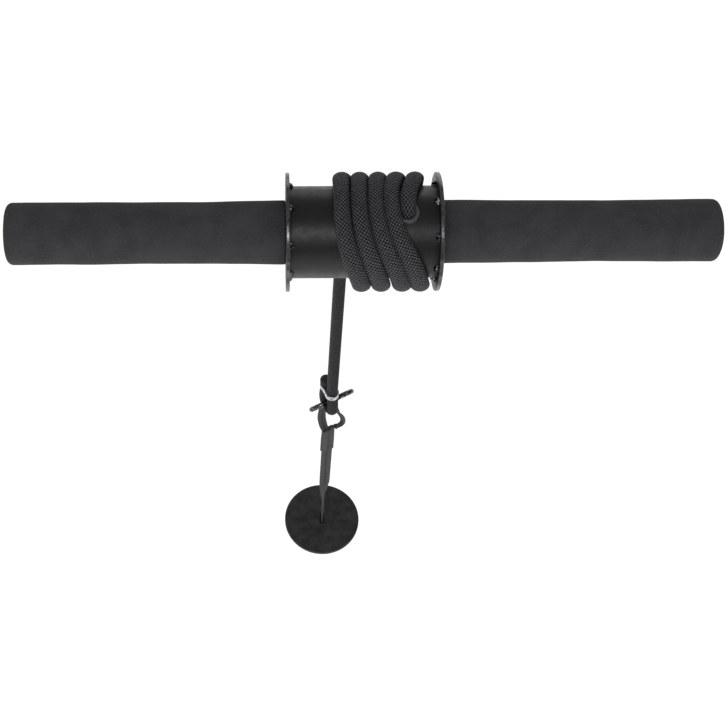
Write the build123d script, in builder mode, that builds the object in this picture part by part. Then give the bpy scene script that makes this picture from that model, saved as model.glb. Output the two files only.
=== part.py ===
from build123d import *
import os
from math import cos, pi, radians, sin, tan

# Wrist roller: a bar with two foam grips and a flanged steel drum, a rope wound on the
# drum, a snap clip in the rope's eye, a webbing strap and a rubber disc that carries plates.
# Frame: X along the bar, Y away from the user, Z up, origin on the bar's axis at the drum's middle.
# The rope leaves the drum at its back and hangs. Millimetres.

# ---- driving dimensions ----
bar_length = 465.0
tube_radius = 12.7
tube_wall = 1.5
plug_wall = 3.0
grip_radius = 20.25
grip_edge = 4.0
grip_gap = 0.9
plug_head = 2.5
plug_shank = 14.0
plug_recess = 1.0

drum_radius = 30.15
drum_wall = 1.5
flange_radius = 39.0
flange_thickness = 2.5
flange_edge = 0.6
flange_inner_x = 47.6
bead_radius = 2.8
bead_count = 8
bead_first_angle = -50.0

rope_radius = 4.6
coil_left_x = -20.0
coil_right_x = 44.2
coil_radius = 39.1
hole_x = 27.4
hole_angle = 79.0
hole_radius = 5.0
grommet_bore = 4.65
grommet_rim = 6.6
grommet_rise = 1.2
grommet_gap = 0.5
knot_radius = 7.0
knot_from_axis = 20.6
knot_stub_radius = 4.5

hang_top = (-9.6, 34.6, 0.0)
eye_start_z = -286.0
tail_end_z = -287.0
strand_offset = 4.65
arc_share = 0.45
arc_clearance = 0.01
crimp_z = -297.0
crimp_height = 6.0
crimp_wall = 1.2

clip_turn = 27.0
clip_lean = 24.0
clip_wire = 2.3
clip_straight = 10.0
clip_bend = 9.2
clip_top_z = -320.0
eye_on_clip = -5.3
eye_point = (-10.8, 41.1)
eye_gap = 0.3
strap_on_clip = 0.9
gate_hinge_x = 2.0
gate_free_x = 9.6
bar_end_x = -0.5
tongue_thickness = 1.6
tongue_height = 4.2
slot_thickness = 2.0
slot_length = 5.6
rivet_radius = 0.9
rivet_clearance = 0.05
rivet_head = 1.4
rivet_head_height = 0.4
spring_bore = 1.2
spring_radius = 1.0
spring_length = 5.0

webbing_width = 9.8
webbing_thickness = 2.0
strap_eye_radius = 2.2
strap_eye_gap = 1.0
leg_offset = 2.6
leg_ease = 0.5
sewn_top_z = -391.0
sewn_top_width = 11.0
sewn_width = 12.4
sewn_thickness = 4.2
sewn_end_z = -433.0
twist_start_z = -504.0
twist_end_z = -549.0

disc_radius = 37.8
disc_thickness = 5.0
disc_top_z = -597.3
disc_edge = 1.2
disc_slot_width = 4.4
disc_slot_length = 12.0
disc_gap = 0.3
pin_radius = 2.5
pin_length = 30.0
pin_edge = 0.5

# ---- directions worked out from the above ----
along_clip = Vector(cos(radians(clip_turn)), sin(radians(clip_turn)), 0)
across_clip = Vector(-sin(radians(clip_turn)), cos(radians(clip_turn)), 0)
up = Vector(0, 0, 1)
clip_up = up * cos(radians(clip_lean)) - across_clip * sin(radians(clip_lean))
eye_centre = Vector(eye_point[0], eye_point[1], clip_top_z)
clip_centre = eye_centre - along_clip * eye_on_clip - clip_up * clip_bend
strap_point = clip_centre + along_clip * strap_on_clip - clip_up * clip_bend
bar_plane_left = Plane(origin=(0, 0, 0), x_dir=(0, 1, 0), z_dir=(-1, 0, 0))
bar_plane_right = Plane(origin=(0, 0, 0), x_dir=(0, 1, 0), z_dir=(1, 0, 0))
sides = {"left": bar_plane_left, "right": bar_plane_right}
hole_direction = Vector(0, -cos(radians(hole_angle)), sin(radians(hole_angle)))
hole_plane = Plane(origin=(hole_x, 0, 0), x_dir=(1, 0, 0), z_dir=hole_direction)
clip_plane = Plane(origin=clip_centre, x_dir=along_clip, z_dir=clip_up.cross(along_clip))
eye_plane = Plane(origin=eye_centre, x_dir=across_clip, z_dir=across_clip.cross(up))

os.makedirs("parts", exist_ok=True)


def save(piece, name):
    """Label a finished piece and write its file."""
    piece.part.label = name
    export_step(piece.part, f"parts/{name}.step")


# ---- bar, end plugs and foam grips ----
tube_end = bar_length / 2 - plug_recess - plug_head
with BuildPart() as bar_tube:
    with BuildSketch(bar_plane_right.offset(-tube_end)):
        Circle(tube_radius)
        Circle(tube_radius - tube_wall, mode=Mode.SUBTRACT)
    extrude(amount=2 * tube_end)
save(bar_tube, "bar_tube")


def end_plug(plane):
    """A plastic plug: a disc over the tube's end and a shank with a blind hollow inside it."""
    with BuildPart() as plug:
        with BuildSketch(plane.offset(tube_end - plug_shank)):
            Circle(tube_radius - tube_wall)
        extrude(amount=plug_shank)
        with BuildSketch(plane.offset(tube_end)):
            Circle(tube_radius)
        extrude(amount=plug_head)
        with BuildSketch(plane.offset(tube_end - plug_shank)):
            Circle(tube_radius - tube_wall - plug_wall)
        extrude(amount=plug_shank, mode=Mode.SUBTRACT)
    return plug


grip_inner_x = flange_inner_x + flange_thickness + grip_gap


def foam_grip(plane):
    """A foam sleeve on the tube, rounded at its outer edge."""
    with BuildPart() as grip:
        with BuildSketch(plane.offset(grip_inner_x)):
            Circle(grip_radius)
        extrude(amount=bar_length / 2 - grip_inner_x)
        outer_edge = grip.edges().filter_by(GeomType.CIRCLE).sort_by(SortBy.DISTANCE)[-1]
        fillet(outer_edge, grip_edge)
        with BuildSketch(plane.offset(grip_inner_x)):
            Circle(tube_radius)
        extrude(amount=bar_length, mode=Mode.SUBTRACT)
    return grip


for side, side_plane in sides.items():
    save(end_plug(side_plane), f"{side}_end_plug")
    save(foam_grip(side_plane), f"{side}_grip")

# ---- drum, flanges and weld beads ----
with BuildPart() as drum_shell:
    with BuildSketch(bar_plane_right.offset(-flange_inner_x)):
        Circle(drum_radius)
        Circle(drum_radius - drum_wall, mode=Mode.SUBTRACT)
    extrude(amount=2 * flange_inner_x)
    with BuildSketch(hole_plane.offset(tube_radius)):
        Circle(hole_radius)
    extrude(amount=drum_radius, mode=Mode.SUBTRACT)
save(drum_shell, "drum_shell")


def flange(plane):
    """A round steel side plate with rounded rims and the tube's hole."""
    with BuildPart() as plate:
        with BuildSketch(plane.offset(flange_inner_x)):
            Circle(flange_radius)
            Circle(tube_radius, mode=Mode.SUBTRACT)
        extrude(amount=flange_thickness)
        rims = plate.edges().filter_by(GeomType.CIRCLE).sort_by(SortBy.RADIUS)[-2:]
        fillet(rims, flange_edge)
    return plate


def weld_beads(plane):
    """Short beads in the corner between the drum and one flange."""
    with BuildPart() as beads:
        with Locations(plane.offset(flange_inner_x)):
            with PolarLocations(drum_radius, bead_count, start_angle=bead_first_angle):
                Sphere(bead_radius)
        with BuildSketch(plane.offset(flange_inner_x)):
            Circle(flange_radius)
        extrude(amount=2 * bead_radius, mode=Mode.SUBTRACT)
        with BuildSketch(plane.offset(flange_inner_x - 2 * bead_radius)):
            Circle(drum_radius)
        extrude(amount=2 * bead_radius, mode=Mode.SUBTRACT)
    return beads


for side, side_plane in sides.items():
    save(flange(side_plane), f"{side}_flange")
    save(weld_beads(side_plane), f"{side}_weld_beads")

# ---- the rope's hole: its rim, and the knot that stops the rope inside the drum ----
with BuildPart() as rope_grommet:
    with BuildSketch(hole_plane.offset(drum_radius - 2 * grommet_rise)):
        Circle(grommet_rim)
    extrude(amount=3 * grommet_rise)
    with BuildSketch(bar_plane_right.offset(0)):
        Circle(drum_radius)
    extrude(amount=flange_inner_x, mode=Mode.SUBTRACT)
    with BuildSketch(hole_plane.offset(drum_radius - 2 * drum_wall)):
        Circle(hole_radius)
    extrude(amount=2 * drum_wall + grommet_rise / 2)
    with BuildSketch(hole_plane.offset(tube_radius)):
        Circle(grommet_bore)
    extrude(amount=drum_radius, mode=Mode.SUBTRACT)
save(rope_grommet, "rope_grommet")

with BuildPart() as rope_stopper_knot:
    with Locations(hole_direction * knot_from_axis + Vector(hole_x, 0, 0)):
        Sphere(knot_radius)
    with BuildSketch(hole_plane.offset(knot_from_axis)):
        Circle(knot_stub_radius)
    extrude(amount=drum_radius + 2 * grommet_rise - knot_from_axis)
save(rope_stopper_knot, "rope_stopper_knot")

# ---- rope: the turns' outer shape, the hanging stretch, and the eye with its tail ----
with BuildPart() as rope_turns:
    with BuildSketch(bar_plane_right.offset(coil_left_x)):
        Circle(coil_radius)
        Circle(drum_radius, mode=Mode.SUBTRACT)
    extrude(amount=coil_right_x - coil_left_x)
    with BuildSketch(hole_plane.offset(tube_radius)):
        Circle(grommet_rim + grommet_gap)
    extrude(amount=coil_radius, mode=Mode.SUBTRACT)
save(rope_turns, "rope_turns")

hang_end = eye_plane.from_local_coords(Vector(-strand_offset, eye_start_z - clip_top_z, 0))
hang_line = hang_end - Vector(*hang_top)
with BuildPart() as rope_hanging:
    with BuildSketch(Plane(origin=hang_end, z_dir=-hang_line)):
        Circle(rope_radius)
    extrude(amount=hang_line.length)
    split(bisect_by=Plane(origin=hang_end, z_dir=up), keep=Keep.TOP)
    with BuildSketch(bar_plane_right.offset(coil_left_x)):
        Circle(coil_radius)
    extrude(amount=coil_right_x - coil_left_x, mode=Mode.SUBTRACT)
save(rope_hanging, "rope_hanging")

bend_radius = clip_wire + eye_gap + rope_radius
neck_z = crimp_z - crimp_height / 2 - clip_top_z
eye_route = [
    (-strand_offset, eye_start_z - clip_top_z),
    (-strand_offset, neck_z),
    (-bend_radius, bend_radius),
    (-bend_radius, -bend_radius),
    (bend_radius, -bend_radius),
    (bend_radius, bend_radius),
    (strand_offset, neck_z),
    (strand_offset, tail_end_z - clip_top_z),
]


def corner_radii(points):
    """The largest tangent arcs that the runs allow."""
    radii = []
    for before, here, after in zip(points, points[1:], points[2:]):
        run_in = Vector(*here) - Vector(*before)
        run_out = Vector(*after) - Vector(*here)
        shorter = min(run_in.length, run_out.length)
        radii.append(arc_share * shorter / tan(radians(run_in.get_angle(run_out) / 2)))
    return radii


eye_radii = corner_radii(eye_route)
for corner in ((-bend_radius, -bend_radius), (bend_radius, -bend_radius)):
    eye_radii[eye_route.index(corner) - 1] = bend_radius - arc_clearance

with BuildPart() as rope_eye:
    with BuildLine(eye_plane) as eye_path:
        FilletPolyline(*eye_route, radius=eye_radii)
    with BuildSketch(Plane(origin=eye_path.line @ 0, z_dir=eye_path.line % 0)):
        Circle(rope_radius)
    sweep(path=eye_path.line)
save(rope_eye, "rope_eye")
eye_length = sum(edge.length for edge in eye_path.line.edges())
print("rope eye length", round(eye_length, 1), "volume ratio",
      round(rope_eye.part.volume / (pi * rope_radius**2 * eye_length), 4))

crimp_plane = Plane(origin=(eye_point[0], eye_point[1], crimp_z - crimp_height / 2), x_dir=across_clip)
with BuildPart() as eye_crimp:
    with BuildSketch(crimp_plane):
        SlotCenterToCenter(2 * strand_offset, 2 * (rope_radius + crimp_wall))
        SlotCenterToCenter(2 * strand_offset, 2 * rope_radius, mode=Mode.SUBTRACT)
    extrude(amount=crimp_height)
save(eye_crimp, "eye_crimp")

# ---- snap clip: an oval of wire, its gate on the upper side, the rivet and the gate's spring ----
with BuildPart() as clip_body:
    with BuildLine(clip_plane) as clip_path:
        right_end = CenterArc((clip_straight, 0), clip_bend, -90, 180)
        Line(right_end @ 1, (-clip_straight, clip_bend))
        left_end = CenterArc((-clip_straight, 0), clip_bend, 90, 180)
        Line(left_end @ 1, (bar_end_x, -clip_bend))
    with BuildSketch(Plane(origin=clip_path.line @ 0, z_dir=clip_path.line % 0)):
        Circle(clip_wire)
    sweep(path=clip_path.line)
    with BuildSketch(clip_plane.offset(-tongue_thickness / 2)):
        with Locations((gate_hinge_x, -clip_bend)):
            Circle(tongue_height / 2)
        with Locations(((gate_hinge_x + bar_end_x) / 2, -clip_bend)):
            Rectangle(gate_hinge_x - bar_end_x, tongue_height)
    extrude(amount=tongue_thickness)
    with BuildSketch(clip_plane.offset(-clip_wire)):
        with Locations((gate_hinge_x, -clip_bend)):
            Circle(rivet_radius)
    extrude(amount=2 * clip_wire, mode=Mode.SUBTRACT)
save(clip_body, "clip_body")

gate_axis_plane = Plane(
    origin=clip_plane.from_local_coords(Vector(gate_hinge_x - clip_wire, -clip_bend, 0)),
    z_dir=along_clip,
    x_dir=across_clip,
)
with BuildPart() as clip_gate:
    with BuildSketch(gate_axis_plane):
        Circle(clip_wire)
    extrude(amount=gate_free_x - gate_hinge_x + clip_wire)
    with BuildSketch(clip_plane.offset(-clip_wire)):
        with Locations((gate_hinge_x, -clip_bend)):
            Circle(clip_wire)
        with Locations(((gate_hinge_x + gate_free_x) / 2, -clip_bend)):
            Rectangle(gate_free_x - gate_hinge_x, 2 * clip_wire)
    extrude(amount=2 * clip_wire, mode=Mode.INTERSECT)
    with BuildSketch(clip_plane.offset(-slot_thickness / 2)):
        with Locations((gate_hinge_x, -clip_bend)):
            Rectangle(slot_length, 2 * clip_wire)
    extrude(amount=slot_thickness, mode=Mode.SUBTRACT)
    with BuildSketch(clip_plane.offset(-clip_wire)):
        with Locations((gate_hinge_x, -clip_bend)):
            Circle(rivet_radius + rivet_clearance)
    extrude(amount=2 * clip_wire, mode=Mode.SUBTRACT)
    with BuildSketch(gate_axis_plane.offset(2 * clip_wire)):
        Circle(spring_bore)
    extrude(amount=spring_length, mode=Mode.SUBTRACT)
save(clip_gate, "clip_gate")

with BuildPart() as gate_rivet:
    with BuildSketch(clip_plane.offset(-clip_wire)):
        with Locations((gate_hinge_x, -clip_bend)):
            Circle(rivet_radius)
    extrude(amount=2 * clip_wire)
    for head_base in (-clip_wire - rivet_head_height, clip_wire):
        with BuildSketch(clip_plane.offset(head_base)):
            with Locations((gate_hinge_x, -clip_bend)):
                Circle(rivet_head)
        extrude(amount=rivet_head_height)
save(gate_rivet, "gate_rivet")

with BuildPart() as gate_spring:
    with BuildSketch(gate_axis_plane.offset(2 * clip_wire)):
        Circle(spring_radius)
    extrude(amount=spring_length)
save(gate_spring, "gate_spring")

# ---- strap: sewn eye on the clip, webbing that turns edge-on, loop round the stop pin ----
strap_axis = (strap_point.X, strap_point.Y)
round_bar = clip_wire + strap_eye_gap + strap_eye_radius
sewn_top = Vector(*strap_axis, sewn_top_z)
strap_eye_route = [
    sewn_top + along_clip * leg_offset,
    sewn_top + Vector(11.5, 1.0, 11.0),
    sewn_top + Vector(11.5, 0.6, 22.0),
    sewn_top + Vector(6.5, -1.6, 37.0),
    strap_point - across_clip * round_bar,
    strap_point + up * round_bar,
    strap_point + across_clip * round_bar,
    sewn_top + Vector(-5.5, 3.4, 36.0),
    sewn_top + Vector(-6.3, 2.2, 21.0),
    sewn_top + Vector(-4.2, 0.2, 9.0),
    sewn_top - along_clip * leg_offset,
]
with BuildPart() as strap_eye:
    with BuildLine() as strap_eye_path:
        Spline(*strap_eye_route, tangents=(up, -up), tangent_scalars=(leg_ease, leg_ease))
    with BuildSketch(Plane(origin=strap_eye_route[0], z_dir=up)):
        Circle(strap_eye_radius)
    sweep(path=strap_eye_path.line)
save(strap_eye, "strap_eye")
strap_eye_length = sum(edge.length for edge in strap_eye_path.line.edges())
print("strap eye length", round(strap_eye_length, 1), "volume ratio",
      round(strap_eye.part.volume / (pi * strap_eye_radius**2 * strap_eye_length), 4))


def level(z):
    """A horizontal plane through the strap's axis."""
    return Plane(origin=(strap_axis[0], strap_axis[1], z))


with BuildPart() as strap_sewn_end:
    with BuildSketch(Plane(origin=(*strap_axis, sewn_end_z), x_dir=along_clip)):
        Rectangle(sewn_width, sewn_thickness)
    with BuildSketch(Plane(origin=(*strap_axis, sewn_top_z), x_dir=along_clip)):
        Rectangle(sewn_top_width, sewn_thickness)
    loft()
save(strap_sewn_end, "strap_sewn_end")

pin_z = disc_top_z - disc_thickness - disc_gap - pin_radius - webbing_thickness
pin_plane = Plane(origin=(*strap_axis, pin_z), x_dir=(1, 0, 0), z_dir=(0, -1, 0))
with BuildPart() as strap_webbing:
    with BuildSketch(level(twist_start_z)):
        Rectangle(webbing_width, webbing_thickness)
    extrude(amount=sewn_end_z - twist_start_z)
    with BuildSketch(level(twist_start_z)):
        Rectangle(webbing_width, webbing_thickness)
    with BuildSketch(level(twist_end_z)):
        Rectangle(webbing_thickness, webbing_width)
    loft()
    with BuildSketch(level(pin_z)):
        Rectangle(webbing_thickness, webbing_width)
    extrude(amount=twist_end_z - pin_z)
    with BuildSketch(pin_plane.offset(-webbing_width / 2)):
        Circle(pin_radius + webbing_thickness)
    extrude(amount=webbing_width)
    with BuildSketch(pin_plane.offset(-webbing_width / 2)):
        Circle(pin_radius)
    extrude(amount=webbing_width, mode=Mode.SUBTRACT)
save(strap_webbing, "strap_webbing")

with BuildPart() as stop_pin:
    with BuildSketch(pin_plane.offset(-pin_length / 2)):
        Circle(pin_radius)
    extrude(amount=pin_length)
    chamfer(stop_pin.edges().filter_by(GeomType.CIRCLE), pin_edge)
save(stop_pin, "stop_pin")

# ---- rubber disc that carries the plates ----
with BuildPart() as load_disc:
    with BuildSketch(level(disc_top_z - disc_thickness)):
        Circle(disc_radius)
    extrude(amount=disc_thickness)
    fillet(load_disc.edges().filter_by(GeomType.CIRCLE), disc_edge)
    with BuildSketch(level(disc_top_z - disc_thickness)):
        Rectangle(disc_slot_width, disc_slot_length)
    extrude(amount=disc_thickness, mode=Mode.SUBTRACT)
save(load_disc, "load_disc")

print("clip centre", clip_centre, "strap point", strap_point, "hang end", hang_end)
print("hanging length", round(hang_line.length, 1))
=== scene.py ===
from math import atan2, cos, pi, radians, sin

import bpy
import numpy as np
from bpy.props import FloatProperty, FloatVectorProperty, IntProperty, PointerProperty
from mathutils import Matrix, Vector


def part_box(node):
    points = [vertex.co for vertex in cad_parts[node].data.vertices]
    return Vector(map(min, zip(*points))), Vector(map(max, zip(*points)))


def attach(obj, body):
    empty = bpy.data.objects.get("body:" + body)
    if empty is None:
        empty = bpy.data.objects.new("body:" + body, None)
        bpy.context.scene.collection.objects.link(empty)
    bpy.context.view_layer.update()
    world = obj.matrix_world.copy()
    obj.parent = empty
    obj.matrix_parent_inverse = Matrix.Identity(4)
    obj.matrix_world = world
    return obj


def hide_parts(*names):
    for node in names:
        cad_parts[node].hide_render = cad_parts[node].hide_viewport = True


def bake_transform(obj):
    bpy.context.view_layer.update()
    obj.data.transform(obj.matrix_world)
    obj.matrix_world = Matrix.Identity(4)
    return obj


bl_info = {
    "name": "Wrist roller",
    "version": (1, 0, 0),
    "blender": (4, 5, 0),
    "location": "3D View > Sidebar > Wrist roller",
    "description": "Builds the finished skin of a wrist roller: grips, drum, rope, clip, strap and disc",
    "category": "Object",
}

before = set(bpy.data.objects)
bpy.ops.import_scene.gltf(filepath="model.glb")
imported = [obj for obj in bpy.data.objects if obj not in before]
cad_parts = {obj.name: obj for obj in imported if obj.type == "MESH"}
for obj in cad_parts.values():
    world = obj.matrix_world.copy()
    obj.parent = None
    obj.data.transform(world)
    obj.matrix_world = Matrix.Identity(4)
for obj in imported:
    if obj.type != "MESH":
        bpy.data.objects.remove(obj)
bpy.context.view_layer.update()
MM = 0.001

# Millimetres and degrees, as in the CAD part.
DRUM_RADIUS = 30.15
FLANGE_RADIUS = 39.0
FLANGE_INNER_X = 47.6
HOLE_X = 27.4
HOLE_ANGLE = 79.0
EYE_CENTRE = Vector((-10.8, 41.1, -320.0))
CLIP_TURN = 27.0
ALONG_CLIP = Vector((cos(radians(CLIP_TURN)), sin(radians(CLIP_TURN)), 0))
ACROSS_CLIP = Vector((-sin(radians(CLIP_TURN)), cos(radians(CLIP_TURN)), 0))
UP = Vector((0, 0, 1))


# ---------------------------------------------------------------- small helpers

def linear(code):
    """An sRGB hex colour as linear red, green, blue and alpha."""
    parts = [int(code[i:i + 2], 16) / 255 for i in (0, 2, 4)]
    return tuple(c / 12.92 if c <= 0.04045 else ((c + 0.055) / 1.055) ** 2.4 for c in parts) + (1.0,)


def colour(name, description, code):
    """A colour property with a hex default."""
    return FloatVectorProperty(name=name, description=description, subtype="COLOR", size=4,
                               min=0.0, max=1.0, default=linear(code))


def size(name, description, millimetres):
    """A length property whose default is in millimetres."""
    return FloatProperty(name=name, description=description, unit="LENGTH", subtype="DISTANCE",
                         min=0.0, default=millimetres * MM, precision=5)


def middle(node):
    """The middle of a CAD node's box."""
    low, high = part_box(node)
    return (Vector(low) + Vector(high)) / 2


def clear_selection():
    """Leave edit mode and deselect everything."""
    active = bpy.context.view_layer.objects.active
    if active and active.mode != "OBJECT":
        bpy.ops.object.mode_set(mode="OBJECT")
    bpy.ops.object.select_all(action="DESELECT")


def pick(piece):
    """Make one object the only selected one and the active one."""
    clear_selection()
    piece.select_set(True)
    bpy.context.view_layer.objects.active = piece


def joined(pieces):
    """One object made of several."""
    clear_selection()
    for piece in pieces:
        piece.select_set(True)
    bpy.context.view_layer.objects.active = pieces[0]
    bpy.ops.object.join()
    return pieces[0]


def apply_modifiers(piece):
    """Apply a piece's modifiers in their order."""
    pick(piece)
    for modifier in list(piece.modifiers):
        bpy.ops.object.modifier_apply(modifier=modifier.name)


def settle(piece, name, body, material, replaced=(), smooth=60):
    """Put a finished piece's place into its mesh, smooth its edges up to an angle, and give it its name,
    finish and body, if it has one."""
    pick(piece)
    bpy.ops.object.transform_apply(location=True, rotation=True, scale=True)
    bpy.ops.object.shade_smooth_by_angle(angle=radians(smooth))
    piece.name = piece.data.name = name
    piece.data.materials.clear()
    piece.data.materials.append(material)
    if body:
        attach(piece, body)
    if replaced:
        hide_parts(*replaced)
    return piece


def dress(material, *nodes):
    """Give CAD nodes' objects a finish."""
    for node in nodes:
        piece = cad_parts[node]
        piece.data.materials.clear()
        piece.data.materials.append(material)


def turned(profile, centre, axis, steps):
    """A turned shape: one point is extruded along the profile, then spun about the axis."""
    clear_selection()
    bpy.ops.mesh.primitive_plane_add(size=MM, location=profile[0])
    bpy.ops.object.mode_set(mode="EDIT")
    bpy.ops.mesh.merge(type="CENTER")
    for here, there in zip(profile, profile[1:]):
        step = Vector(there) - Vector(here)
        bpy.ops.mesh.extrude_vertices_move(TRANSFORM_OT_translate={"value": step})
    bpy.ops.mesh.select_all(action="SELECT")
    bpy.ops.mesh.spin(steps=steps, angle=2 * pi, center=centre, axis=axis)
    bpy.ops.mesh.select_all(action="SELECT")
    bpy.ops.mesh.remove_doubles(threshold=0.01 * MM)
    bpy.ops.mesh.normals_make_consistent(inside=False)
    bpy.ops.object.mode_set(mode="OBJECT")
    return bpy.context.object


def arc(middle_point, radius, first, last, count):
    """Points of a circular arc in a flat profile, angles in degrees."""
    turns = [radians(first + (last - first) * i / count) for i in range(count + 1)]
    return [(middle_point[0] + radius * cos(t), middle_point[1] + radius * sin(t)) for t in turns]


def smooth_line(route, resolution):
    """The line of a NURBS spline whose control points are the route, as an array of points."""
    curve = bpy.data.curves.new("route", "CURVE")
    curve.dimensions = "3D"
    curve.resolution_u = resolution
    spline = curve.splines.new("NURBS")
    spline.points.add(len(route) - 1)
    for knot, place in zip(spline.points, route):
        knot.co = (*place, 1.0)
    spline.order_u = 3
    spline.use_endpoint_u = True
    carrier = bpy.data.objects.new("route", curve)
    bpy.context.collection.objects.link(carrier)
    line = bpy.data.meshes.new_from_object(carrier)
    points = np.array([vertex.co[:] for vertex in line.vertices])
    bpy.data.objects.remove(carrier)
    bpy.data.curves.remove(curve)
    bpy.data.meshes.remove(line)
    return points


def evenly(points, step):
    """The same line with its points at an even spacing, and the distance along it."""
    gaps = np.linalg.norm(np.diff(points, axis=0), axis=1)
    along = np.concatenate([[0.0], np.cumsum(gaps)])
    places = np.linspace(0.0, along[-1], int(round(along[-1] / step)) + 1)
    return np.stack([np.interp(places, along, points[:, k]) for k in range(3)], axis=1), places


def unit(vectors):
    """Vectors scaled to length one."""
    return vectors / np.linalg.norm(vectors, axis=1, keepdims=True)


def skin(name, path, sides, sections, pattern):
    """A closed skin carried along a path. Each section's points are (side, up) pairs in metres,
    and pattern holds the UV of each of them, with one more for the seam."""
    ahead = unit(np.gradient(path, axis=0))
    sides = unit(sides - np.sum(sides * ahead, axis=1, keepdims=True) * ahead)
    ups = np.cross(ahead, sides)
    rings, around = sections.shape[:2]
    places = (path[:, None] + sections[..., :1] * sides[:, None] + sections[..., 1:] * ups[:, None])
    faces, marks = [], []
    for i in range(rings - 1):
        for j in range(around):
            k = (j + 1) % around
            faces.append((i * around + j, i * around + k, (i + 1) * around + k, (i + 1) * around + j))
            marks += [pattern[i, j], pattern[i, j + 1], pattern[i + 1, j + 1], pattern[i + 1, j]]
    faces.append(tuple(reversed(range(around))))
    faces.append(tuple((rings - 1) * around + j for j in range(around)))
    marks += [pattern[0, j] for j in reversed(range(around))] + [pattern[-1, j] for j in range(around)]
    mesh = bpy.data.meshes.new(name)
    mesh.from_pydata(places.reshape(-1, 3).tolist(), [], faces)
    mesh.uv_layers.new(name="weave").data.foreach_set("uv", np.array(marks, dtype=np.float32).ravel())
    mesh.update()
    piece = bpy.data.objects.new(name, mesh)
    bpy.context.collection.objects.link(piece)
    return piece


def carried_sides(path, first):
    """Side directions carried along a path without twist."""
    ahead = unit(np.gradient(path, axis=0))
    sides = [np.array(first, dtype=float)]
    for way in ahead:
        side = sides[-1] - way * np.dot(sides[-1], way)
        sides.append(side / np.linalg.norm(side))
    return np.array(sides[1:])


# ---------------------------------------------------------------- finishes

def new_finish(name):
    """An empty material."""
    material = bpy.data.materials.new(name)
    material.use_nodes = True
    material.node_tree.nodes.clear()
    return material


def add(material, kind, settings=None, links=None):
    """Add one node. Settings are its own options, in small letters, or its sockets' values. Links join a
    socket to another node, from the first output that is in use, or to one of its outputs."""
    node = material.node_tree.nodes.new(kind)
    for key, value in (settings or {}).items():
        if isinstance(key, str) and key.islower():
            setattr(node, key, value)
        else:
            node.inputs[key].default_value = value
    for key, source in (links or {}).items():
        if isinstance(source, bpy.types.Node):
            source = next(output for output in source.outputs if output.enabled)
        material.node_tree.links.new(source, node.inputs[key])
    return node


def close_finish(material, settings, links):
    """The shader and the output of a finish."""
    shader = add(material, "ShaderNodeBsdfPrincipled", settings, links)
    add(material, "ShaderNodeOutputMaterial", None, {"Surface": shader})
    return material


def closed_cell_foam(paint):
    """Closed-cell rubber foam, skinned and lightly sanded: dull, with fine pores and soft mottling."""
    material = new_finish("closed_cell_foam")
    place = add(material, "ShaderNodeTexCoord").outputs["Object"]
    pores = add(material, "ShaderNodeTexNoise", {"Scale": 1 / (0.9 * MM), "Detail": 3.0}, {"Vector": place})
    blotches = add(material, "ShaderNodeTexNoise", {"Scale": 1 / (14 * MM), "Detail": 2.0}, {"Vector": place})
    shade = add(material, "ShaderNodeMapRange", {"From Min": 0.3, "From Max": 0.7}, {"Value": blotches})
    darker, lighter = [tuple(share * c for c in paint[:3]) + (1.0,) for share in (0.74, 1.7)]
    body = add(material, "ShaderNodeMix", {"data_type": "RGBA", 6: darker, 7: paint}, {0: shade})
    specks = add(material, "ShaderNodeMapRange", {"From Min": 0.56, "From Max": 0.72, "To Max": 0.5},
                 {"Value": pores})
    whole = add(material, "ShaderNodeMix", {"data_type": "RGBA", 7: lighter}, {0: specks, 6: body})
    relief = add(material, "ShaderNodeBump", {"Distance": 0.35 * MM, "Strength": 0.8}, {"Height": pores})
    return close_finish(material, {"Roughness": 0.85, "Specular IOR Level": 0.12, "IOR": 1.5},
                        {"Base Color": whole, "Normal": relief})


def powder_coat(name, paint, worn):
    """Black powder coat on steel: satin, with orange peel, and rubbed to bright metal on the outer
    0.7 mm of the flanges, in patches a few millimetres long."""
    material = new_finish(name)
    place = add(material, "ShaderNodeTexCoord").outputs["Object"]
    peel = add(material, "ShaderNodeTexNoise", {"Scale": 1 / (1.6 * MM), "Detail": 2.0}, {"Vector": place})
    scuffs = add(material, "ShaderNodeTexNoise", {"Scale": 1 / (5 * MM), "Detail": 5.0}, {"Vector": place})
    flat = add(material, "ShaderNodeVectorMath", {"operation": "MULTIPLY", 1: (0.0, 1.0, 1.0)}, {0: place})
    radius = add(material, "ShaderNodeVectorMath", {"operation": "LENGTH"}, {0: flat})
    rim = add(material, "ShaderNodeMapRange",
              {"From Min": (FLANGE_RADIUS - 0.7) * MM, "From Max": FLANGE_RADIUS * MM},
              {"Value": radius.outputs["Value"]})
    patches = add(material, "ShaderNodeMapRange", {"From Min": 0.4, "From Max": 0.6, "To Min": 0.2},
                  {"Value": scuffs})
    rubbed = add(material, "ShaderNodeMath", {"operation": "MULTIPLY"}, {0: rim, 1: patches})
    satin = add(material, "ShaderNodeMapRange",
                {"From Min": 0.3, "From Max": 0.7, "To Min": 0.34, "To Max": 0.48}, {"Value": scuffs})
    gloss = add(material, "ShaderNodeMath", {"operation": "MULTIPLY_ADD", 1: -0.2}, {0: rim, 2: satin})
    whole = add(material, "ShaderNodeMix", {"data_type": "RGBA", 6: paint, 7: worn}, {0: rubbed})
    relief = add(material, "ShaderNodeBump", {"Distance": 0.12 * MM, "Strength": 0.5}, {"Height": peel})
    return close_finish(material, {"Specular IOR Level": 0.42, "IOR": 1.5},
                        {"Base Color": whole, "Metallic": rubbed, "Roughness": gloss, "Normal": relief})


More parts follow.
